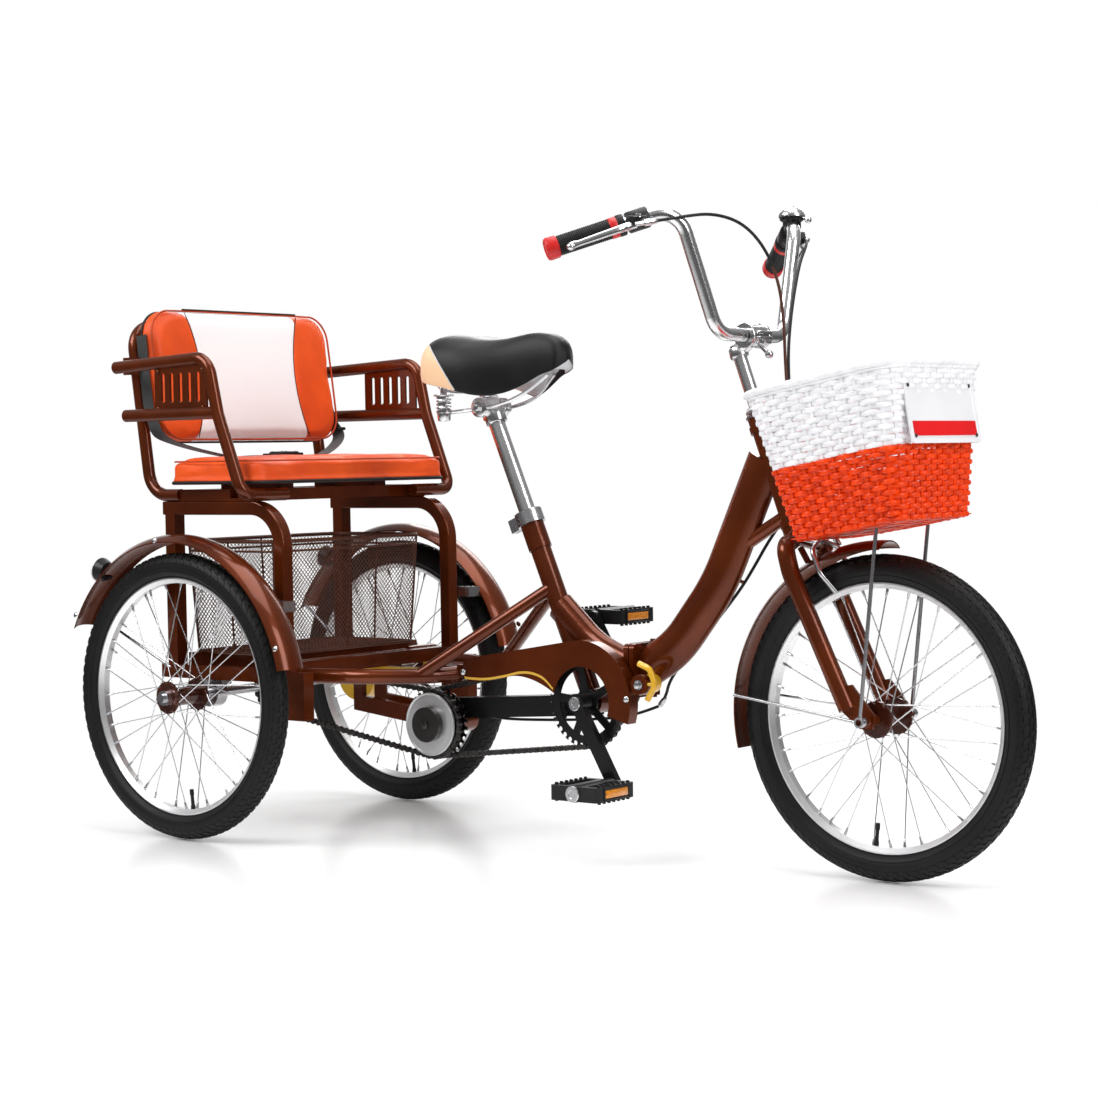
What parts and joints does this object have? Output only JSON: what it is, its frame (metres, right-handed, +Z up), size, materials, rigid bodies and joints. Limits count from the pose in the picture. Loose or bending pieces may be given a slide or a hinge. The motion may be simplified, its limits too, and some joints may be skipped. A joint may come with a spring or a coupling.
{
  "type": "folding tricycle",
  "caption": "Folding pedal tricycle with a rear passenger bench over a mesh basket, a jackshaft chain drive and a wicker front basket.",
  "frame": {"origin": "on the ground, under the middle of the overall box", "axes": "+X forward, +Y to the rider's left, +Z up"},
  "size_m": [1.746, 0.68, 1.051],
  "materials": {
    "tyre_rubber": "matt",
    "alloy": "satin",
    "paint": "gloss",
    "black_paint": "gloss",
    "yellow_paint": "gloss",
    "wire_mesh": "satin",
    "leather": "satin",
    "saddle_cover": "satin",
    "chrome": "polished",
    "steel": "satin",
    "black_plastic": "matt",
    "lamp_lens": "gloss",
    "wicker": "gloss",
    "webbing": "matt",
    "cable_cover": "satin"
  },
  "bodies": {
    "rear_body": {"carriage_frame": "paint", "rack_arches": "paint", "mesh_basket": "wire_mesh", "cross_rod": "paint", "bench_frame": "paint", "bench_cushion": "leather", "armrests": "paint", "back_frame": "paint", "backrest_pad": "leather", "lap_belt": "webbing", "rear_fenders": "paint", "fender_stays": "steel", "tail_lamps": "lamp_lens", "drive_bracket": "paint", "bow_tube": "paint", "rear_frame": "paint", "seat_stays": "paint", "seat_collar": "steel", "drive_beam": "black_paint", "chaincase": "paint", "front_chain": "steel", "rear_chain": "steel", "axle_bearings": "steel", "brake_cover": "yellow_paint", "rear_cable": "cable_cover"},
    "saddle_post": {"seat_post": "chrome", "saddle_frame": "chrome", "saddle": "saddle_cover"},
    "drive_wheel": {"drive_axle": "steel", "right_tyre": "tyre_rubber", "right_rim": "alloy", "right_hub": "steel"},
    "free_wheel": {"left_tyre": "tyre_rubber", "left_rim": "alloy", "left_hub": "steel"},
    "rear_sprocket": {"rear_freewheel": "steel"},
    "cranks": {"crankset": "steel"},
    "right_pedal_body": {"right_pedal": "black_plastic"},
    "left_pedal_body": {"left_pedal": "black_plastic"},
    "jack_shaft": {"jackshaft": "steel", "guard_disc": "steel"},
    "front_body": {"front_frame": "paint", "fold_latch": "yellow_paint", "frame_cable": "cable_cover"},
    "steered": {"fork": "paint", "handlebar_stem": "chrome", "handlebar": "chrome", "grips": "black_plastic", "brake_levers": "black_plastic", "bell": "chrome", "front_basket": "wicker", "basket_hanger": "steel", "front_stays": "steel", "front_fender": "paint", "front_brake": "steel", "control_cables": "cable_cover"},
    "front_wheel": {"front_tyre": "tyre_rubber", "front_rim": "alloy", "front_hub": "steel"}
  },
  "joints": [
    {"name": "saddle_height", "type": "slide", "parent": "rear_body", "child": "saddle_post", "axis": [-0.3923, 0, 0.9198], "range_m": [-0.06, 0.06]},
    {"name": "right_wheel_spin", "type": "hinge", "parent": "rear_body", "child": "drive_wheel", "pos_m": [-0.6169, 0, 0.25], "axis": [0, 1, 0], "continuous": true},
    {"name": "left_wheel_spin", "type": "hinge", "parent": "rear_body", "child": "free_wheel", "pos_m": [-0.6169, 0.288, 0.25], "axis": [0, 1, 0], "continuous": true},
    {"name": "crank_spin", "type": "hinge", "parent": "rear_body", "child": "cranks", "pos_m": [0.0851, 0, 0.252], "axis": [0, 1, 0], "continuous": true},
    {"name": "jack_spin", "type": "hinge", "parent": "rear_body", "child": "jack_shaft", "pos_m": [-0.2329, 0, 0.201], "axis": [0, 1, 0], "continuous": true},
    {"name": "sprocket_spin", "type": "hinge", "parent": "rear_body", "child": "rear_sprocket", "pos_m": [-0.6169, -0.066, 0.25], "axis": [0, 1, 0], "continuous": true},
    {"name": "right_pedal_spin", "type": "hinge", "parent": "cranks", "child": "right_pedal_body", "pos_m": [0.1601, -0.133, 0.1221], "axis": [0, 1, 0], "continuous": true},
    {"name": "left_pedal_spin", "type": "hinge", "parent": "cranks", "child": "left_pedal_body", "pos_m": [0.0101, 0.133, 0.3819], "axis": [0, 1, 0], "continuous": true},
    {"name": "frame_fold", "type": "hinge", "parent": "rear_body", "child": "front_body", "pos_m": [0.1611, 0.036, 0.305], "axis": [0, 0, 1], "range_deg": [0, 110]},
    {"name": "steering", "type": "hinge", "parent": "front_body", "child": "steered", "pos_m": [0.44071, 0, 0.6], "axis": [-0.342, 0, 0.9397], "range_deg": [-45, 45]},
    {"name": "front_wheel_spin", "type": "hinge", "parent": "steered", "child": "front_wheel", "pos_m": [0.6231, 0, 0.25], "axis": [0, 1, 0], "continuous": true}
  ],
  "couplings": [
    {"joint": "jack_spin", "follows": "crank_spin", "ratio": 1.2857},
    {"joint": "sprocket_spin", "follows": "crank_spin", "ratio": 1.7143}
  ]
}
